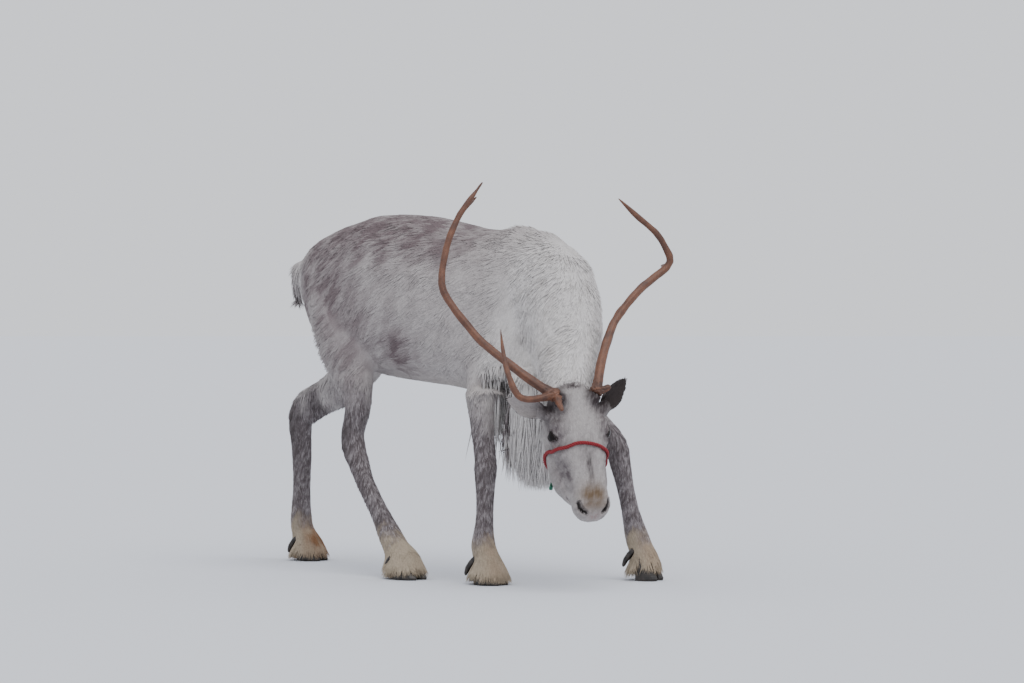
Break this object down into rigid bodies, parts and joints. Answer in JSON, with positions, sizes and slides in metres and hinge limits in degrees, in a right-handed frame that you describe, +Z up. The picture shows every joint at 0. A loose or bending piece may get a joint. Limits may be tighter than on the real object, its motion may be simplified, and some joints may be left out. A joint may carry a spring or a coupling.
{
  "type": "reindeer figure",
  "caption": "Life-size standing reindeer in winter coat, head lowered and turned aside, with antlers, throat mane and a rope halter.",
  "frame": {"origin": "on the ground under the middle of the figure's bounding box", "axes": "+X the way the trunk faces, +Y to the animal's left, +Z up"},
  "size_m": [1.498, 0.6658, 1.1439],
  "materials": {
    "body_coat": "dense winter hair, off-white with a grey-brown cast on the back, rump and flank",
    "mane_coat": "long soft white hair, wavy on the neck and hanging under the throat",
    "leg_coat": "short grizzled grey-brown hair",
    "foot_coat": "short cream and tan hair over the hooves",
    "ear_coat": "short hair, grey outside and dark brown inside",
    "antler": "bare bone, reddish brown, rough at the burr and smoother towards the tips",
    "hoof_horn": "dark horn, slightly glossy",
    "eye": "wet, near black",
    "red_rope": "thin laid rope, red",
    "green_rope": "thin laid rope, green"
  },
  "bodies": {
    "root": {"torso": "body_coat", "neck": "mane_coat", "throat_mane": "mane_coat", "ear_L": "ear_coat", "ear_R": "ear_coat", "head": "body_coat", "tail": "body_coat", "hoof_FR_inner": "hoof_horn", "dewclaw_FR_inner": "hoof_horn", "hoof_FR_outer": "hoof_horn", "dewclaw_FR_outer": "hoof_horn", "leg_FR_foot": "foot_coat", "leg_FR_cannon": "leg_coat", "hoof_FL_outer": "hoof_horn", "dewclaw_FL_outer": "hoof_horn", "hoof_FL_inner": "hoof_horn", "dewclaw_FL_inner": "hoof_horn", "leg_FL_foot": "foot_coat", "leg_FL_cannon": "leg_coat", "hoof_HR_inner": "hoof_horn", "dewclaw_HR_inner": "hoof_horn", "hoof_HR_outer": "hoof_horn", "dewclaw_HR_outer": "hoof_horn", "leg_HR_foot": "foot_coat", "leg_HR_cannon": "leg_coat", "hoof_HL_outer": "hoof_horn", "dewclaw_HL_outer": "hoof_horn", "hoof_HL_inner": "hoof_horn", "dewclaw_HL_inner": "hoof_horn", "leg_HL_foot": "foot_coat", "leg_HL_cannon": "leg_coat", "leg_FR_upper": "leg_coat", "leg_FL_upper": "leg_coat", "leg_HR_upper": "leg_coat", "leg_HL_upper": "leg_coat", "eye_L": "eye", "eye_R": "eye", "antler_R_lower": "antler", "antler_R_middle": "antler", "antler_R_upper": "antler", "antler_R_tine": "antler", "antler_R_brow_stub": "antler", "antler_R_point": "antler", "antler_L_lower": "antler", "antler_L_middle": "antler", "antler_L_upper": "antler", "antler_L_brow_stub": "antler", "antler_L_spur": "antler", "halter_noseband": "red_rope", "halter_tie": "green_rope"}
  },
  "joints": []
}
